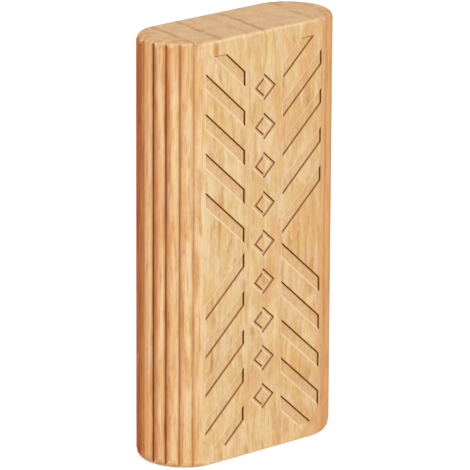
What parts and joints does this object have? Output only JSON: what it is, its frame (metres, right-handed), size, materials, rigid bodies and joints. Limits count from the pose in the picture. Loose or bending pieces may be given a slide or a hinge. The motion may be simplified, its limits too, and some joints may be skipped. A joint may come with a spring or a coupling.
{
  "type": "loose tenon",
  "caption": "Flat beech loose tenon with reeded full-round edges and slanting glue pockets pressed into both broad faces, for joining two workpieces in matching mortises.",
  "frame": {"origin": "middle of the lower end face, on which the tenon stands", "axes": "+Z along the length and the grain, X across the width between the reeded edges, Y through the thickness with one broad face at -Y"},
  "size_m": [0.0212, 0.0078, 0.04],
  "materials": {
    "beech": "bare planed beech, matt"
  },
  "bodies": {
    "root": {"tenon": "beech"}
  },
  "joints": []
}
